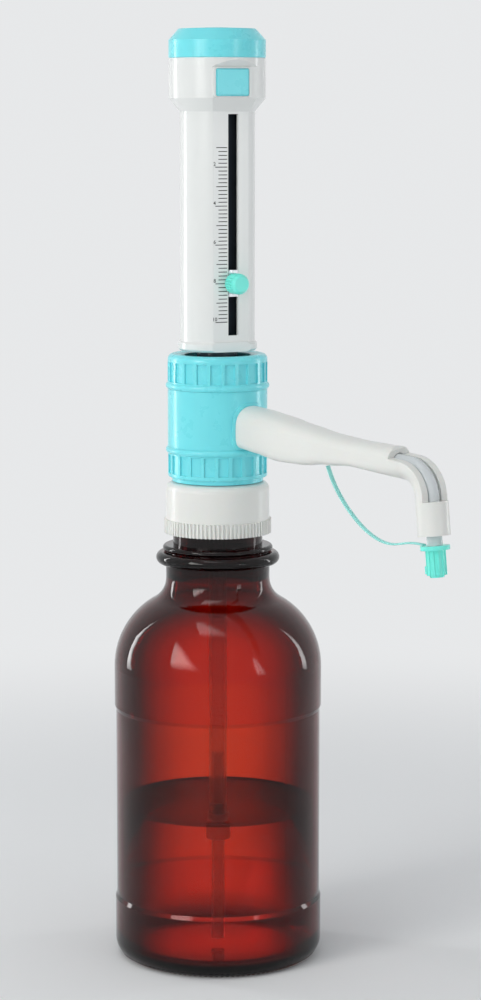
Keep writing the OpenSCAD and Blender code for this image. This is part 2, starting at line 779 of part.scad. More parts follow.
// The arm's rounded section at the distance x from its root.
function arm_ring(x) = [for (k = [0 : arm_sides - 1])
    let (key = arm_at(x), a = -(k + 0.5)*360/arm_sides, c = cos(a), s = sin(a),
        n = s > 0 ? key[4] : key[5])
    [x, sign(c)*pow(abs(c), 2/n)*key[3],
        sign(s)*pow(abs(s), 2/n)*(s > 0 ? key[1] : key[2])]];

// The open channel over the bend and the lowered walls beside it, widened by the amount w.
module channel_outline(w) {
    slot = tube_hole_d + 2*w;
    translate([bend_r, 0]) rotate(-channel_turn) {
        circle(d = slot);
        translate([0, -slot/2]) square([nozzle_d, slot]);
        translate([channel_depth - w, -nozzle_d]) square([nozzle_d, 2*nozzle_d]);
    }
}

// The straight part of the arm. The tube leaves it by a hole in the step where the
// channel starts.
module straight_arm() {
    difference() {
        union() {
            sweep([for (i = [0 : arm_steps]) arm_ring(i*(arm_len - 0.5)/arm_steps)]);
            translate([arm_len - 1, 0, 0]) rotate([0, 90, 0]) cylinder(d = nozzle_d, h = 1);
        }
        rotate([0, 90, 0]) cylinder(d = cartridge_d + 2*slip, h = cartridge_out + 0.5);
        rotate([0, 90, 0]) cylinder(d = tube_hole_d, h = arm_len + 1);
        rotate([channel_turn, 0, 0]) {
            translate([channel_start, -tube_hole_d/2, 0]) cube([20, tube_hole_d, nozzle_d]);
            rotate([90, 0, 0]) translate([0, 0, -nozzle_d]) linear_extrude(2*nozzle_d)
                polygon([[channel_start, channel_depth], [channel_start, nozzle_r - 1.8],
                    [channel_start - 2, nozzle_r + 0.4], [channel_start - 2, nozzle_d],
                    [arm_len + 9, nozzle_d], [arm_len + 9, channel_depth]]);
        }
    }
}

module discharge_arm() {
    channel_run = 2.5;
    color([0.95, 0.95, 0.93]) difference() {
        arm_frame() {
            straight_arm();
            bend() difference() {
                translate([bend_r, 0]) circle(d = nozzle_d);
                channel_outline(0);
            }
            nozzle_frame() difference() {
                translate([0, 0, -lap]) cylinder(d = nozzle_d + 2*lap_step, h = nozzle_len + lap);
                translate([0, 0, -1]) cylinder(d = tube_hole_d + 2*lap_step, h = nozzle_len + 2);
                translate([0, 0, -1]) linear_extrude(channel_run + 1)
                    translate([bend_r, 0]) mirror([1, 0]) channel_outline(lap_step);
            }
        }
        translate([0, 0, arm_z - 40]) cylinder(d = block_d + 2*boss_out + 2*slip, h = 80);
    }
}

module discharge_tube() {
    tube_in = out_ledge + 1.1;
    color([0.85, 0.88, 0.9, 0.6]) arm_frame() {
        translate([tube_in, 0, 0]) rotate([0, 90, 0]) tube(tube_d, tube_bore, arm_len - tube_in);
        bend() translate([bend_r, 0]) difference() {
            circle(d = tube_d);
            circle(d = tube_bore);
        }
        nozzle_frame() translate([0, 0, -lap])
            tube(tube_d + lap_step, tube_bore + lap_step, nozzle_len + tip_len + lap);
    }
}

// ------------------------------------------------------- cap and its strap

module nozzle_cap() {
    mouth = tip_len - 4.5 + 0.4;
    r_in = cap_body_d/2;
    r_out = r_in + 0.4;
    step = 360/cap_ribs;
    color([0.42, 0.87, 0.86]) arm_frame() nozzle_frame() translate([0, 0, cap_start]) difference() {
        union() {
            cylinder(d = cap_flange_d, h = cap_flange_t);
            linear_extrude(cap_len - 1) polygon([for (i = [0 : cap_ribs - 1],
                p = [[-0.13, r_out], [0.13, r_out], [0.18, r_in], [0.5, r_in], [0.82, r_in]])
                p[1]*[cos((i + p[0])*step), sin((i + p[0])*step)]]);
            cylinder(d = cap_body_d - 2, h = cap_len);
            // The tail of the strap's moulding.
            translate([r_in - 0.45, -1.5, cap_len - 5]) cube([2.05, 3, 3.6]);
        }
        translate([0, 0, -1]) cylinder(d = tube_d + 2*slip, h = mouth + 1);
    }
}

// A flat moulded tape, wide across the arm's plane.
module cap_strap() {
    last = len(STRAP) - 1;
    span = strap_end - strap_root;
    path = [for (p = STRAP) [strap_root[0] + p[0]*span[0], 0, strap_root[1] + p[1]*span[1]]];
    color([0.55, 0.9, 0.85]) sweep([for (i = [0 : last])
        let (d = path[min(i + 1, last)] - path[max(i - 1, 0)], n = [-d[2], 0, d[0]]/norm(d))
        ring(path[i], [0, 1, 0], n, strap_w/2, strap_t/2, 8)]);
}

// ------------------------------------------------------------ filling tube

module filling_tube_upper() {
    color([0.8, 0.8, 0.78]) translate([0, 0, fill_end_z])
        tube(fill_d, fill_id, core_foot_z - 0.1 - fill_end_z);
}

module filling_tube_lower() {
    foot_z = floor_t + foot_gap;
    color([0.8, 0.8, 0.78]) translate([0, 0, foot_z])
        tube(lower_d, lower_d - 2*lower_wall, fill_end_z + lower_overlap - foot_z);
}

// Grips the two tubes where one slides into the other.
module tube_coupling() {
    lip = 2;
    color([0.75, 0.75, 0.73]) translate([0, 0, fill_end_z - lip]) difference() {
        cylinder(d = coupling_d, h = coupling_h);
        translate([0, 0, lip]) cylinder(d = fill_d + 0.1, h = coupling_h);
        translate([0, 0, -1]) cylinder(d = lower_d + 0.12, h = coupling_h);
    }
}

// ------------------------------------------------------------------- parts

bottle();
neck_seal();
bottle_adapter();
lower_union_nut();
valve_housing();
upper_union_nut();
valve_core();
inlet_seat();
inlet_ball();
outlet_valve();
outlet_ball();
outlet_spring();
glass_cylinder();
cylinder_seal();
guide_tube();
stop_ring();
piston();
piston_seal();
piston_rod();
calibration_nut();
dosing_sleeve();
top_cap();
front_badge();
volume_slider();
clamp_screw();
volume_knob();
discharge_arm();
discharge_tube();
nozzle_cap();
cap_strap();
filling_tube_upper();
filling_tube_lower();
tube_coupling();
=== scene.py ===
import json
import math

import bmesh
import bpy
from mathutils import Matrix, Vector


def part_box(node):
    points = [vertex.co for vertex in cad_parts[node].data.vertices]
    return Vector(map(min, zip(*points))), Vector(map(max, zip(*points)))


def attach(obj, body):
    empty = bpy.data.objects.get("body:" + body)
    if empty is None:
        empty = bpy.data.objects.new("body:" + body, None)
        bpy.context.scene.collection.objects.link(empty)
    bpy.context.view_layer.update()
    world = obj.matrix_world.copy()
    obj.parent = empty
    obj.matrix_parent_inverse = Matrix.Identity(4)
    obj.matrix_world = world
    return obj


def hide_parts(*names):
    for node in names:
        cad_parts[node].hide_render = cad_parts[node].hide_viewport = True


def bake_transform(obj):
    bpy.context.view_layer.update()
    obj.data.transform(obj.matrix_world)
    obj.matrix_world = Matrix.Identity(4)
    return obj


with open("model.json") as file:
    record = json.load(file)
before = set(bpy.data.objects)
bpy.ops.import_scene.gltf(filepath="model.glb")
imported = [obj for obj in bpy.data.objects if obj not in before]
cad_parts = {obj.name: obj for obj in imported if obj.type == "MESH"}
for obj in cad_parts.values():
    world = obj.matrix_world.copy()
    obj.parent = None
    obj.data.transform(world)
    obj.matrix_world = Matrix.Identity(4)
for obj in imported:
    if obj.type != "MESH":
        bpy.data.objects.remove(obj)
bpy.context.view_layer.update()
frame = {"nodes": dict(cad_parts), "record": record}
NODES = frame["nodes"]
MM = 0.001

# The bottle stands on z = 0 round the z axis, and the discharge arm points along +X.
# Lengths are in metres: those in millimetres are written with MM.

# ------------------------------------------------------------------ camera

AZIMUTH = math.radians(48)       # the camera stands this far round from -Y
CAMERA_DISTANCE = 1350.3 * MM    # from the bottle's axis
CAMERA_SIDE = 11.04 * MM         # to the right of the axis
CAMERA_HEIGHT = 415.5 * MM
CAMERA_TILT = math.radians(8.03)
LENS = 101.3                     # focal length and sensor in mm
SENSOR_WIDTH = 36
VIEW_DEPTH = 20                  # metres that the camera sees
TOWARDS_CAMERA = Vector((math.sin(AZIMUTH), -math.cos(AZIMUTH), 0))
CAMERA_RIGHT = Vector((math.cos(AZIMUTH), math.sin(AZIMUTH), 0))


def make_camera():
    data = bpy.data.cameras.new("camera")
    data.lens = LENS
    data.sensor_width = SENSOR_WIDTH
    data.clip_end = VIEW_DEPTH
    camera = bpy.data.objects.new("camera", data)
    bpy.context.scene.collection.objects.link(camera)
    camera.location = (TOWARDS_CAMERA * CAMERA_DISTANCE + CAMERA_RIGHT * CAMERA_SIDE
                       + Vector((0, 0, CAMERA_HEIGHT)))
    look = -TOWARDS_CAMERA * math.cos(CAMERA_TILT) - Vector((0, 0, math.sin(CAMERA_TILT)))
    camera.rotation_mode = "QUATERNION"
    camera.rotation_quaternion = look.to_track_quat("-Z", "Y")
    bpy.context.scene.camera = camera


make_camera()

# ----------------------------------------------------------- mesh helpers


def mesh_object(name, verts, faces, smooth=True):
    mesh = bpy.data.meshes.new(name)
    mesh.from_pydata([tuple(v) for v in verts], [], faces)
    mesh.validate()
    obj = bpy.data.objects.new(name, mesh)
    bpy.context.scene.collection.objects.link(obj)
    for polygon in mesh.polygons:
        polygon.use_smooth = smooth
    return obj


def fix_normals(obj):
    bm = bmesh.new()
    bm.from_mesh(obj.data)
    bmesh.ops.recalc_face_normals(bm, faces=bm.faces)
    bm.to_mesh(obj.data)
    bm.free()


def loft(name, rings):
    """Joins rings of the same number of points into one tube with closed ends."""
    sides = len(rings[0])
    verts = [p for ring in rings for p in ring]
    faces = []
    for j in range(len(rings) - 1):
        for k in range(sides):
            a = j * sides
            b = a + sides
            faces.append((a + k, a + (k + 1) % sides, b + (k + 1) % sides, b + k))
    faces.append(tuple(reversed(range(sides))))
    faces.append(tuple(range(len(verts) - sides, len(verts))))
    obj = mesh_object(name, verts, faces)
    fix_normals(obj)
    return obj


def lathe(name, outline, sides=128):
    """Turns an outline of (radius, height) points round the bottle's axis."""
    turn = 2 * math.pi / sides
    rings = [[(r * math.cos(k * turn), r * math.sin(k * turn), z) for k in range(sides)]
             for r, z in outline]
    return loft(name, rings)


BLOCK_FACES = ((0, 1, 3, 2), (4, 6, 7, 5), (0, 4, 5, 1), (2, 3, 7, 6), (0, 2, 6, 4), (1, 5, 7, 3))


def blocks(name, corner_sets):
    """One mesh of six-sided blocks, each given by its eight corners: the side changes
    fastest, then the height and then the depth."""
    verts = [corner for corners in corner_sets for corner in corners]
    faces = [tuple(8 * i + k for k in face)
             for i in range(len(corner_sets)) for face in BLOCK_FACES]
    obj = mesh_object(name, verts, faces, smooth=False)
    fix_normals(obj)
    return obj


# ------------------------------------------------------------ cap's strap

ROOT = Vector((77.0, 0, 249.1)) * MM
END = Vector((139.552, 0, 219.305)) * MM
ROUTE = [(0, 0), (0.022, 0.095), (0.051, 0.206), (0.086, 0.318), (0.128, 0.429),
         (0.174, 0.537), (0.227, 0.645), (0.283, 0.743), (0.335, 0.824), (0.391, 0.899),
         (0.447, 0.959), (0.502, 1.007), (0.556, 1.041), (0.607, 1.061), (0.66, 1.068),
         (0.711, 1.061), (0.764, 1.041), (0.816, 1.02), (0.869, 1.003), (0.92, 0.997),
         (0.962, 0.997), (1, 1)]
STRAP_WIDTH = 2.5 * MM
STRAP_THICKNESS = 1.0 * MM
STRAP_SIDES = 16
STRAP_ROUNDNESS = 0.75           # exponent of its section: 1 is an ellipse, less is squarer
SPAN = END - ROOT
ROUTE_POINTS = [Vector((ROOT.x + u * SPAN.x, 0, ROOT.z + v * SPAN.z)) for u, v in ROUTE]


def smooth_path(points, steps=4):
    """A Catmull-Rom curve through the points."""
    path = []
    last = len(points) - 1
    for i in range(last):
        p0, p1, p2, p3 = (points[max(0, min(last, i + k))] for k in (-1, 0, 1, 2))
        for s in range(steps):
            t = s / steps
            path.append(0.5 * (2 * p1 + (p2 - p0) * t + (2 * p0 - 5 * p1 + 4 * p2 - p3) * t ** 2
                               + (3 * p1 - p0 - 3 * p2 + p3) * t ** 3))
    return path + [points[last]]


def make_strap():
    path = smooth_path(ROUTE_POINTS)
    rings = []
    for i, at in enumerate(path):
        along = (path[min(i + 1, len(path) - 1)] - path[max(i - 1, 0)]).normalized()
        up = Vector((-along.z, 0, along.x))
        ring = []
        for k in range(STRAP_SIDES):
            a = 2 * math.pi * k / STRAP_SIDES
            c, s = math.cos(a), math.sin(a)
            across = math.copysign(abs(c) ** STRAP_ROUNDNESS, c) * STRAP_WIDTH / 2
            rise = math.copysign(abs(s) ** STRAP_ROUNDNESS, s) * STRAP_THICKNESS / 2
            ring.append(at + Vector((0, across, 0)) + up * rise)
        rings.append(ring)
    strap = loft("strap", rings)
    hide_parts("cap_strap")
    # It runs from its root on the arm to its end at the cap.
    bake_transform(strap)
    return strap


STRAP = make_strap()

# --------------------------------------------------------------- materials


class Tree:
    """A node tree, with short calls to add and join nodes."""

    def __init__(self, tree):
        self.tree = tree

    def add(self, kind, **values):
        """Adds a node. Each value is one of its settings or, failing that, one of its inputs."""
        node = self.tree.nodes.new(kind)
        for key, value in values.items():
            if hasattr(node, key):
                setattr(node, key, value)
            else:
                node.inputs[key.replace("_", " ")].default_value = value
        return node

    def join(self, a, b):
        self.tree.links.new(a, b)

    def maths(self, operation, *values):
        """An operation on numbers and outputs, in any mixture."""
        node = self.add("ShaderNodeMath", operation=operation)
        for socket, value in zip(node.inputs, values):
            if isinstance(value, (int, float)):
                socket.default_value = value
            else:
                self.join(value, socket)
        return node.outputs[0]

    def ramp(self, value, low, high, from_low=0.3, from_high=0.7, shape="LINEAR"):
        """Carries a value from one range to another."""
        node = self.add("ShaderNodeMapRange", interpolation_type=shape)
        self.join(value, node.inputs["Value"])
        for key, number in (("From Min", from_low), ("From Max", from_high),
                            ("To Min", low), ("To Max", high)):
            node.inputs[key].default_value = number
        return node.outputs["Result"]

    def show(self, factor, a, b, output):
        """Sends a mix of two shader nodes to the tree's output node."""
        node = self.add("ShaderNodeMixShader")
        self.join(factor, node.inputs[0])
        self.join(a.outputs[0], node.inputs[1])
        self.join(b.outputs[0], node.inputs[2])
        self.join(node.outputs[0], self.tree.nodes[output].inputs["Surface"])


class Nodes(Tree):
    """A new material's node tree, placed by the object's own coordinates."""

    def __init__(self, name):
        self.material = bpy.data.materials.new(name)
        self.material.use_nodes = True
        super().__init__(self.material.node_tree)
        self.shader = self.tree.nodes["Principled BSDF"]
        self.place = self.add("ShaderNodeTexCoord").outputs["Object"]

    def height(self):
        split = self.add("ShaderNodeSeparateXYZ")
        self.join(self.place, split.inputs[0])
        return split.outputs["Z"]

    def noise(self, scale, detail, vector=None):
        node = self.add("ShaderNodeTexNoise", Scale=scale, Detail=detail)
        self.join(vector or self.place, node.inputs["Vector"])
        return node.outputs["Fac"]

    def mix(self, factor, a, b):
        node = self.add("ShaderNodeMix", data_type="RGBA")
        self.join(factor, node.inputs["Factor"])
        for key, color in (("A_Color", a), ("B_Color", b)):
            socket = next(put for put in node.inputs if put.identifier == key)
            socket.default_value = (*color, 1)
        return next(out for out in node.outputs if out.identifier == "Result_Color")

    def bump(self, height, strength, distance, under=None):
        node = self.add("ShaderNodeBump", Strength=strength, Distance=distance)
        self.join(height, node.inputs["Height"])
        if under:
            self.join(under, node.inputs["Normal"])
        return node.outputs["Normal"]

    def soft_edges(self, radius):
        """Normals that round off the sharp edges of a moulded piece."""
        return self.add("ShaderNodeBevel", samples=8, Radius=radius).outputs["Normal"]

    def absorb(self, color, density):
        node = self.add("ShaderNodeVolumeAbsorption", Color=(*color, 1), Density=density)
        self.join(node.outputs["Volume"], self.tree.nodes["Material Output"].inputs["Volume"])

    def drive(self, **sources):
        """Joins outputs to the shader's inputs."""
        for key, source in sources.items():
            self.join(source, self.shader.inputs[key.replace("_", " ")])

    def set(self, **values):
        """Sets the shader's inputs to plain values."""
        for key, value in values.items():
            self.shader.inputs[key.replace("_", " ")].default_value = value


EDGE_RADIUS = 0.35 * MM


def shade(color, factor):
    return tuple(min(1.0, c * factor) for c in color)


def plastic(name, color, mottle, rough=0.3, grain=0.012, coat=0.0, soft=0.0,
            edge=EDGE_RADIUS):
    """Moulded plastic: faint flow marks in colour and gloss over a fine grain."""
    n = Nodes(name)
    flow = n.noise(scale=38, detail=4)
    gloss = n.noise(scale=160, detail=5)
    rounded = n.soft_edges(edge) if edge else None
    ripple = n.bump(n.noise(scale=60, detail=2), strength=0.02, distance=0.4 * MM, under=rounded)
    fine = n.bump(n.noise(scale=1300, detail=2), strength=grain, distance=0.1 * MM, under=ripple)
    n.drive(Base_Color=n.mix(flow, shade(color, 1 - mottle), shade(color, 1 + mottle)),
            Roughness=n.ramp(gloss, rough * 0.94, rough * 1.08),
            Normal=fine)
    n.set(IOR=1.49, Coat_Weight=coat, Coat_Roughness=0.08, Subsurface_Weight=soft,
          Subsurface_Scale=2 * MM)
    return n.material


def metal(name, color, rough, stretch):
    """Turned or drawn metal, with fine marks stretched along one axis."""
    n = Nodes(name)
    mapping = n.add("ShaderNodeMapping", Scale=stretch)
    n.join(n.place, mapping.inputs["Vector"])
    marks = n.noise(scale=900, detail=4, vector=mapping.outputs["Vector"])
    n.drive(Base_Color=n.mix(marks, shade(color, 0.85), shade(color, 1.1)),
            Roughness=n.ramp(marks, rough * 0.7, rough * 1.4),
            Normal=n.bump(marks, strength=0.1, distance=0.05 * MM))
    n.set(Metallic=1.0)
    return n.material


def glass(name, color, mottle=0.04):
    """Clear glass with the slow waves of a drawn wall."""
    n = Nodes(name)
    slow = n.noise(scale=14, detail=2)
    n.drive(Base_Color=n.mix(slow, shade(color, 1 - mottle), shade(color, 1 + mottle)),
            Normal=n.bump(n.noise(scale=22, detail=1), strength=0.02, distance=1 * MM))
    n.set(IOR=1.47, Transmission_Weight=1.0, Roughness=0.02)
    return n.material


AMBER_TINT = (0.885, 0.33, 0.0)       # what the glass lets through
AMBER_DENSITY = 1100                  # how strongly it absorbs the rest
AMBER_THIN = (1.0, 0.94, 0.88)        # colours of its surface: its own tone, and the darker one towards the neck and the base, which is also painted shade where it is seen edge on
AMBER_DARK_AND_SHADE = (0.07, 0.02, 0.025)
NECK_RANGE = (0.160, 0.200)           # heights between which it darkens towards the neck
BASE_RANGE = (0.004, 0.018)           # and towards the standing edge
EDGE_RANGE = (0.04, 0.42)             # slants of view between which painted shade darkens it


def amber(name):
    """Brown glass: deeper at the neck and at the base, and darkened with painted shade where it is
    seen edge on.
    """
    n = Nodes(name)
    height = n.height()
    slant = n.add("ShaderNodeLayerWeight", Blend=0.5).outputs["Facing"]
    dark_and_shade = n.ramp(height, 0, 0.92, *NECK_RANGE)
    dark_and_shade = n.maths("MAXIMUM", dark_and_shade, n.ramp(height, 0.9, 0, *BASE_RANGE))
    # painted shade: the surface colour turns dark where the glass is seen edge on
    dark_and_shade = n.maths("MAXIMUM", dark_and_shade, n.ramp(slant, 0, 0.95, *EDGE_RANGE))
    dark_and_shade = n.maths("ADD", dark_and_shade, n.ramp(n.noise(scale=14, detail=2), -0.06, 0.06))
    n.drive(Base_Color=n.mix(dark_and_shade, AMBER_THIN, AMBER_DARK_AND_SHADE),
            Normal=n.bump(n.noise(scale=22, detail=1), strength=0.12, distance=1 * MM))
    n.set(IOR=1.36, Transmission_Weight=1.0, Roughness=0.0)
    n.absorb(AMBER_TINT, AMBER_DENSITY)
    return n.material


def rubber(name, color):
    """Dull rubber with a fine grain."""
    n = Nodes(name)
    n.drive(Base_Color=n.mix(n.noise(scale=300, detail=4), shade(color, 0.8), shade(color, 1.3)),
            Normal=n.bump(n.noise(scale=1800, detail=3), strength=0.15, distance=0.2 * MM))
    n.set(Roughness=0.65)
    return n.material


def tube_plastic(name, color, through):
    """Milky tube that lets some light through."""
    n = Nodes(name)
    n.drive(Base_Color=n.mix(n.noise(scale=120, detail=3), shade(color, 0.95), shade(color, 1.04)),
            Roughness=n.ramp(n.noise(scale=400, detail=2), 0.05, 0.1))
    n.set(IOR=1.35, Transmission_Weight=through)
    return n.material


SKY_BLUE = (0.18, 0.81, 0.89)
AQUA = (0.18, 0.95, 0.82)
STRAP_AQUA = (0.34, 0.84, 0.78)
WHITE = (0.82, 0.83, 0.80)
SLEEVE_WHITE = (0.82, 0.84, 0.83)
FLUOROPOLYMER_WHITE = (0.86, 0.86, 0.83)
CERAMIC = (0.84, 0.80, 0.72)
NAVY = (0.045, 0.055, 0.07)
INK = (0.015, 0.018, 0.02)
BLACK_RUBBER = (0.02, 0.02, 0.022)
CLEAR = (0.94, 0.98, 0.99)
MILKY = (0.93, 0.96, 0.97)
MILKIER = (0.88, 0.93, 0.95)
SPRING_STEEL = (0.62, 0.62, 0.62)
STEEL = (0.60, 0.61, 0.62)
BRASS = (0.72, 0.52, 0.22)
ALUMINIUM = (0.55, 0.57, 0.6)

MATERIALS = {
    "amber_glass": amber("amber_glass"),
    "clear_glass": glass("clear_glass", CLEAR),
    "white_plastic": plastic("white_plastic", WHITE, rough=0.32, mottle=0.015, coat=0.15,
                             soft=0.05),
    "sleeve_plastic": plastic("sleeve_plastic", SLEEVE_WHITE, rough=0.22, mottle=0.01,
                              grain=0.01, coat=0.3),
    "blue_plastic": plastic("blue_plastic", SKY_BLUE, rough=0.28, mottle=0.012, coat=0.2,
                            soft=0.04),
    "aqua_plastic": plastic("aqua_plastic", AQUA, mottle=0.015, coat=0.2, soft=0.05),
    "strap_plastic": plastic("strap_plastic", STRAP_AQUA, rough=0.42, mottle=0.02, grain=0.0,
                             edge=None),
    "navy_plastic": plastic("navy_plastic", NAVY, rough=0.2, mottle=0.1, grain=0.01, coat=0.2),
    "white_fluoropolymer": plastic("white_fluoropolymer", FLUOROPOLYMER_WHITE, rough=0.45,
                                   mottle=0.02, grain=0.06),
    "tube_plastic": tube_plastic("tube_plastic", MILKY, through=0.85),
    "seal_rubber": rubber("seal_rubber", BLACK_RUBBER),
    "ceramic_ball": plastic("ceramic_ball", CERAMIC, rough=0.1, mottle=0.02, grain=0.01,
                            coat=0.5),
    "spring_wire": metal("spring_wire", SPRING_STEEL, rough=0.28, stretch=(1, 12, 12)),
    "steel_rod": metal("steel_rod", STEEL, rough=0.22, stretch=(1, 1, 0.05)),
    "brass_nut": metal("brass_nut", BRASS, rough=0.25, stretch=(1, 1, 8)),
    "aluminium_slider": metal("aluminium_slider", ALUMINIUM, rough=0.3, stretch=(1, 1, 0.2)),
}
SMOOTH_ANGLE = math.radians(32)       # edges sharper than this stay sharp


def paint(obj, material):
    obj.data.materials.clear()
    obj.data.materials.append(material)


def paint_cad_pieces():
    slot_of = {row["node"]: row["material_slot"] for row in frame["record"]["subparts"]}
    for name, obj in NODES.items():
        paint(obj, MATERIALS[slot_of[name]])
    paint(NODES["discharge_tube"], tube_plastic("milky_tube", MILKIER, through=0.3))
    paint(STRAP, MATERIALS["strap_plastic"])


def smooth_cad_pieces():
    """Shades curved faces smoothly, without dark streaks on slim ones."""
    for obj in NODES.values():
        for polygon in obj.data.polygons:
            polygon.use_smooth = True
        obj.data.set_sharp_from_angle(angle=SMOOTH_ANGLE)
        weighted = obj.modifiers.new("weighted_normals", "WEIGHTED_NORMAL")
        weighted.keep_sharp = True


paint_cad_pieces()
smooth_cad_pieces()

# ------------------------------------------------------------------ liquid

LIQUID_TOP = 75 * MM
LIQUID_GAP = 0.15 * MM           # kept from the glass
GLASS_WALL = 3.0 * MM
FLOOR_THICKNESS = 5.0 * MM
LIQUID_HEEL = 8.0 * MM           # radius of the edge at its foot
HEEL_STEPS = 8
MENISCUS = 1.6 * MM              # how far it climbs the glass
MENISCUS_RIM = 0.3 * MM
MENISCUS_WIDTH = 4 * MM
MENISCUS_STEPS = 6
ON_AXIS = 0.001 * MM             # radius of the rings that close a lathed piece
PAINTED_SHADE_SKIN = (0.4 * MM, 0.2 * MM)    # depths between which painted shade turns its colour dark
LIQUID_TINT = (0.95, 0.74, 0.86)
SURFACE_PAINTED_SHADE = (0.07, 0.04, 0.04)


def liquid_material():
    """Clear below, with painted shade: a thin dark skin at its top surface."""
    n = Nodes("liquid")
    skin = [LIQUID_TOP - depth for depth in PAINTED_SHADE_SKIN]
    # painted shade: the top skin of the liquid is coloured dark
    top = n.ramp(n.height(), 0, 1, *skin)
    n.drive(Base_Color=n.mix(top, LIQUID_TINT, SURFACE_PAINTED_SHADE),
            Normal=n.bump(n.noise(scale=30, detail=1), strength=0.02, distance=1 * MM))
    n.set(IOR=1.12, Transmission_Weight=1.0, Roughness=0.0)
    return n.material


def make_liquid():
    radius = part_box("bottle")[1].x - GLASS_WALL - LIQUID_GAP
    low = FLOOR_THICKNESS + LIQUID_GAP
    rim = radius - MENISCUS_RIM
    outline = [(ON_AXIS, low)]
    for i in range(HEEL_STEPS + 1):
        a = math.radians(90 * i / HEEL_STEPS)
        outline.append((radius - LIQUID_HEEL + LIQUID_HEEL * math.sin(a),
                        low + LIQUID_HEEL - LIQUID_HEEL * math.cos(a)))
    outline += [(radius, LIQUID_TOP + MENISCUS), (rim, LIQUID_TOP + MENISCUS)]
    for i in range(1, MENISCUS_STEPS + 1):
        t = i / MENISCUS_STEPS
        outline.append((rim - MENISCUS_WIDTH * t, LIQUID_TOP + MENISCUS * (1 - t) ** 2))
    outline.append((ON_AXIS, LIQUID_TOP))
    liquid = lathe("liquid", outline)
    paint(liquid, liquid_material())
    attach(liquid, "bottle")


make_liquid()

# ------------------------------------------------- marks round the base

HEEL_MARKS = 110
HEEL_RADIUS = 8.0 * MM           # of the bottle's standing edge
HEEL_SPAN = (math.radians(20), math.radians(44))    # where a rib starts and ends on it
HEEL_OUT = 0.25 * MM             # how far a rib stands out of the glass and reaches into it
MARK_WIDTH = 1.1 * MM


def make_heel_marks():
    """The short ribs moulded round the bottle's standing edge."""
    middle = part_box("bottle")[1].x - HEEL_RADIUS
    half = MARK_WIDTH / 2 / middle
    marks = []
    for i in range(HEEL_MARKS):
        turn = 2 * math.pi * i / HEEL_MARKS
        corners = []
        for depth in (-HEEL_OUT, HEEL_OUT):
            for lean in HEEL_SPAN:
                radius = middle + (HEEL_RADIUS + depth) * math.sin(lean)
                z = HEEL_RADIUS - (HEEL_RADIUS + depth) * math.cos(lean)
                for side in (turn - half, turn + half):
                    corners.append((radius * math.cos(side), radius * math.sin(side), z))
        marks.append(corners)
    ribs = blocks("heel_marks", marks)
    paint(ribs, MATERIALS["amber_glass"])
    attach(ribs, "bottle")


make_heel_marks()

# -------------------------------------------------------- thread on the neck

THREAD_PITCH = 4.0 * MM
THREAD_TURNS = 2.6
THREAD_LOW = 212.5 * MM
THREAD_STEPS = 72                # rings in a turn
THREAD_FADE = 12                 # rings over which its ends run out
FINISH_RADIUS = 21.7 * MM
ROOT_SUNK = 0.3 * MM             # how far its root lies in the glass
FLANK_OUT = 0.75 * MM
CREST_OUT = 0.85 * MM
ROOT_HALF = 1.1 * MM             # half its height at the root and at the flanks' top
FLANK_HALF = 0.45 * MM


def make_thread():
    steps = int(THREAD_TURNS * THREAD_STEPS)
    rings = []
    for i in range(steps + 1):
        a = 2 * math.pi * THREAD_TURNS * i / steps
        fade = min(1.0, i / THREAD_FADE, (steps - i) / THREAD_FADE)
        z = THREAD_LOW + THREAD_PITCH * a / (2 * math.pi)
        profile = [(-ROOT_SUNK, -ROOT_HALF), (FLANK_OUT * fade, -FLANK_HALF),
                   (CREST_OUT * fade, 0), (FLANK_OUT * fade, FLANK_HALF),
                   (-ROOT_SUNK, ROOT_HALF)]
        rings.append([((FINISH_RADIUS + out) * math.cos(a), (FINISH_RADIUS + out) * math.sin(a),
                       z + up) for out, up in profile])
    thread = loft("neck_thread", rings)
    paint(thread, MATERIALS["amber_glass"])
    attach(thread, "bottle")


make_thread()

# ----------------------------------------------------------- volume scale

SCALE_DIRECTION = math.radians(-17)    # which way the flat face looks, round from +X
FACE_DISTANCE = 15.5 * MM
BORE = 11.8                      # of the measuring cylinder, in mm
ML = 1000 / (math.pi * (BORE / 2) ** 2) * MM    # length of stroke for one millilitre
SET_VOLUME = 8
MAX_VOLUME = 10
TICKS_PER_ML = 5
NUMBER_EVERY = 2                 # millilitres from one number to the next
PRINT_HEIGHT = 0.05 * MM
PRINT_SUNK = 0.01 * MM
TICK_RIGHT = -2.0 * MM           # end of the ticks nearest the slot
TICK_LENGTHS = {"short": 4.5 * MM, "middle": 5.6 * MM, "long": 6.1 * MM}
TICK_HALF = 0.19 * MM
NUMBER_SIZE = 2.5 * MM
NUMBER_WEIGHT = 0.02 * MM        # added all round the figures' outlines
NUMBER_ACROSS = -8.5 * MM        # across the face
NUMBER_ABOVE = 0.6 * MM          # above its tick


def face_point(across, height, out):
    """A point on the scale's flat face: across is to the viewer's right."""
    c, s = math.cos(SCALE_DIRECTION), math.sin(SCALE_DIRECTION)
    reach = FACE_DISTANCE + out
    return Vector((reach * c - across * s, reach * s + across * c, height))


def scale_zero():
    """Height on the face where the slider's middle stands at no volume."""
    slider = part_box("volume_slider")
    return (slider[0].z + slider[1].z) / 2 + SET_VOLUME * ML


def tick_kind(step):
    """Ticks at the numbers are the longest, and those at the other millilitres come next."""
    if step % (NUMBER_EVERY * TICKS_PER_ML) == 0:
        return "long"
    return "middle" if step % TICKS_PER_ML == 0 else "short"


def make_ticks(zero, ink):
    ticks = []
    for step in range(TICKS_PER_ML, MAX_VOLUME * TICKS_PER_ML + 1):
        z = zero - step / TICKS_PER_ML * ML
        left = TICK_RIGHT - TICK_LENGTHS[tick_kind(step)]
        ticks.append([face_point(across, height, out)
                      for out in (-PRINT_SUNK, PRINT_HEIGHT)
                      for height in (z - TICK_HALF, z + TICK_HALF)
                      for across in (left, TICK_RIGHT)])
    printed = blocks("scale_ticks", ticks)
    paint(printed, ink)
    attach(printed, "sleeve")


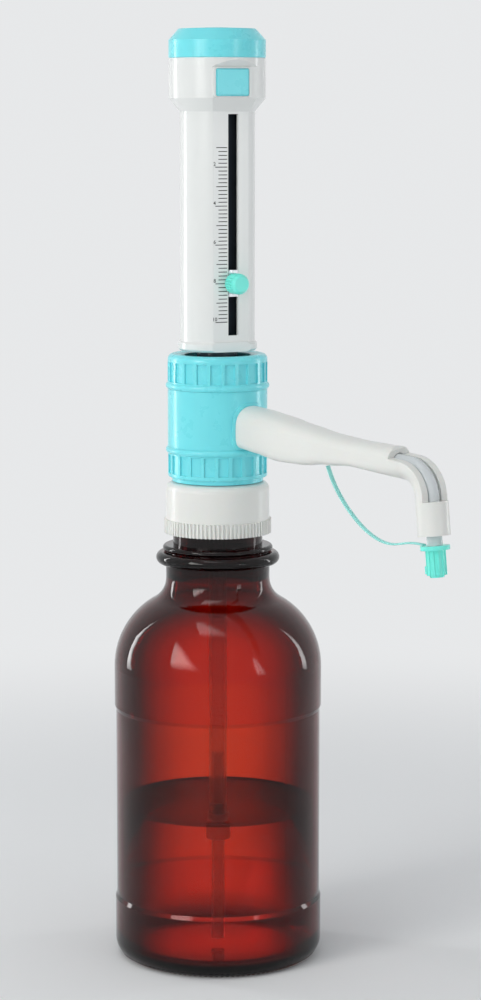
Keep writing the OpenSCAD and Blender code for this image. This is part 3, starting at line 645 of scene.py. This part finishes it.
def make_number(volume, zero, ink):
    name = f"scale_number_{volume}"
    curve = bpy.data.curves.new(f"number_{volume}", "FONT")
    curve.body = str(volume)
    curve.size = NUMBER_SIZE
    curve.extrude = PRINT_HEIGHT / 2
    curve.align_x = "CENTER"
    curve.offset = NUMBER_WEIGHT
    text = bpy.data.objects.new(name, curve)
    bpy.context.scene.collection.objects.link(text)
    text.location = face_point(NUMBER_ACROSS, zero - volume * ML + NUMBER_ABOVE,
                               PRINT_HEIGHT / 2)
    text.rotation_euler = (math.pi / 2, 0, math.pi / 2 + SCALE_DIRECTION)
    bpy.context.view_layer.update()
    mesh = bpy.data.meshes.new_from_object(text)
    mesh.transform(text.matrix_world)
    bpy.data.objects.remove(text)
    number = bpy.data.objects.new(name, mesh)
    bpy.context.scene.collection.objects.link(number)
    paint(number, ink)
    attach(number, "sleeve")


def make_scale():
    zero = scale_zero()
    ink = plastic("scale_ink", INK, rough=0.5, mottle=0.1)
    make_ticks(zero, ink)
    for volume in range(NUMBER_EVERY, MAX_VOLUME + 1, NUMBER_EVERY):
        make_number(volume, zero, ink)


make_scale()

# ------------------------------------------------------- floor and lighting

PALE = (0.80, 0.81, 0.82)        # the backdrop, as the camera and the glass see it
FLOOR = (0.93, 0.94, 0.95)
NEAR, FAR = 0.30, 0.80           # metres from the object between which the floor turns plain
FLOOR_SIZE = 12                  # metres to each side, to the front and up the backdrop
BACKDROP = 9.0                   # metres to the back, past a camera that looks from there
BACKDROP_CURVE = 1.5             # radius in which the floor turns up
CURVE_STEPS = 12
WORLD_COLOR = (0.96, 0.98, 1.0)
WORLD_LIGHT = 0.46
WHITE_LIGHT = (1, 1, 1)
WARM_LIGHT = (1, 0.99, 0.96)
LAMP_BOOST = 1.8                 # makes up for what the faded edges take
LAMP_FADE = 0.3                  # part of a lamp's width over which its edge fades
AIM_HEIGHT = 0.24                # metres: where the lamps look, on the bottle's axis


def seen_as_background(tree):
    """1 for camera, glossy and transmitted rays, and 0 for those that only bring light."""
    path = tree.add("ShaderNodeLightPath")
    seen = path.outputs["Is Camera Ray"]
    for ray in ("Is Glossy Ray", "Is Transmission Ray"):
        seen = tree.maths("MAXIMUM", seen, path.outputs[ray])
    return seen


def stage_material():
    """Floor and backdrop: lit and shadowed near the object, and plain pale further off
    and where it is seen through glass."""
    n = Nodes("floor")
    n.set(Base_Color=(*FLOOR, 1), Roughness=0.9, Specular_IOR_Level=0.1)
    plain = n.add("ShaderNodeEmission", Color=(*PALE, 1))
    distance = n.add("ShaderNodeVectorMath", operation="LENGTH")
    n.join(n.place, distance.inputs[0])
    away = n.ramp(distance.outputs["Value"], 0, 1, NEAR, FAR, "SMOOTHSTEP")
    far_off = n.maths("MULTIPLY", away, seen_as_background(n))
    through = n.add("ShaderNodeLightPath").outputs["Is Transmission Ray"]
    n.show(n.maths("MAXIMUM", far_off, through), n.shader, plain, "Material Output")
    return n.material


def make_floor():
    """A level floor that curves up into a backdrop, far enough off for a view from behind."""
    outline = [(-FLOOR_SIZE, 0), (BACKDROP - BACKDROP_CURVE, 0)]
    for i in range(1, CURVE_STEPS + 1):
        a = math.radians(90 * i / CURVE_STEPS)
        outline.append((BACKDROP - BACKDROP_CURVE + BACKDROP_CURVE * math.sin(a),
                        BACKDROP_CURVE - BACKDROP_CURVE * math.cos(a)))
    outline.append((BACKDROP, FLOOR_SIZE))
    verts = [-TOWARDS_CAMERA * depth + CAMERA_RIGHT * side + Vector((0, 0, z))
             for depth, z in outline for side in (-FLOOR_SIZE, FLOOR_SIZE)]
    faces = [(2 * i, 2 * i + 1, 2 * i + 3, 2 * i + 2) for i in range(len(outline) - 1)]
    floor = mesh_object("floor", verts, faces)
    paint(floor, stage_material())


def soften_edges(lamp):
    """Fades a lamp towards its edges, so that its reflection has no hard outline."""
    lamp.use_nodes = True
    tree = Tree(lamp.node_tree)
    split = tree.add("ShaderNodeSeparateXYZ")
    tree.join(tree.add("ShaderNodeNewGeometry").outputs["Parametric"], split.inputs[0])
    u = split.outputs["Y"]
    v = tree.maths("SUBTRACT", tree.maths("SUBTRACT", 1, split.outputs["X"]), u)
    strength = LAMP_BOOST
    for place in (u, v):
        from_middle = tree.maths("ABSOLUTE", tree.maths("SUBTRACT", place, 0.5))
        inward = tree.maths("SUBTRACT", 0.5, from_middle)
        strength = tree.maths("MULTIPLY", strength,
                              tree.ramp(inward, 0, 1, 0, LAMP_FADE, "SMOOTHSTEP"))
    tree.join(strength, lamp.node_tree.nodes["Emission"].inputs["Strength"])


def area_light(name, direction, height, distance, size, power, color=WHITE_LIGHT):
    """A soft box that looks at the object. Its direction is in degrees to the right of the
    camera's, its power in watts and the rest in metres."""
    data = bpy.data.lights.new(name, "AREA")
    soften_edges(data)
    data.shape = "RECTANGLE"
    data.size, data.size_y = size
    data.energy = power
    data.color = color
    light = bpy.data.objects.new(name, data)
    bpy.context.scene.collection.objects.link(light)
    a = math.radians(direction)
    way = TOWARDS_CAMERA * math.cos(a) + CAMERA_RIGHT * math.sin(a)
    light.location = way * distance + Vector((0, 0, height))
    aim = Vector((0, 0, AIM_HEIGHT)) - light.location
    light.rotation_mode = "QUATERNION"
    light.rotation_quaternion = aim.to_track_quat("-Z", "Y")


def make_world():
    """A dim, even light. What the camera and the glass see of it is the backdrop's colour."""
    world = bpy.data.worlds.new("world")
    bpy.context.scene.world = world
    world.use_nodes = True
    tree = Tree(world.node_tree)
    light = world.node_tree.nodes["Background"]
    light.inputs["Color"].default_value = (*WORLD_COLOR, 1)
    light.inputs["Strength"].default_value = WORLD_LIGHT
    plain = tree.add("ShaderNodeBackground", Color=(*PALE, 1))
    tree.show(seen_as_background(tree), light, plain, "World Output")


def make_lights():
    area_light("key", -34, height=0.95, distance=1.5, size=(1.2, 1.4), power=22,
               color=WARM_LIGHT)
    area_light("fill", 50, height=0.6, distance=2.0, size=(0.6, 1.2), power=5)
    area_light("top", 0, height=2.0, distance=0.5, size=(1.2, 1.2), power=8)
    area_light("left_rim", -112, height=0.5, distance=1.1, size=(0.25, 1.3), power=6)
    area_light("right_rim", 112, height=0.5, distance=1.1, size=(0.25, 1.3), power=4)


make_floor()
make_world()
make_lights()
bpy.context.scene.view_settings.view_transform = "Standard"
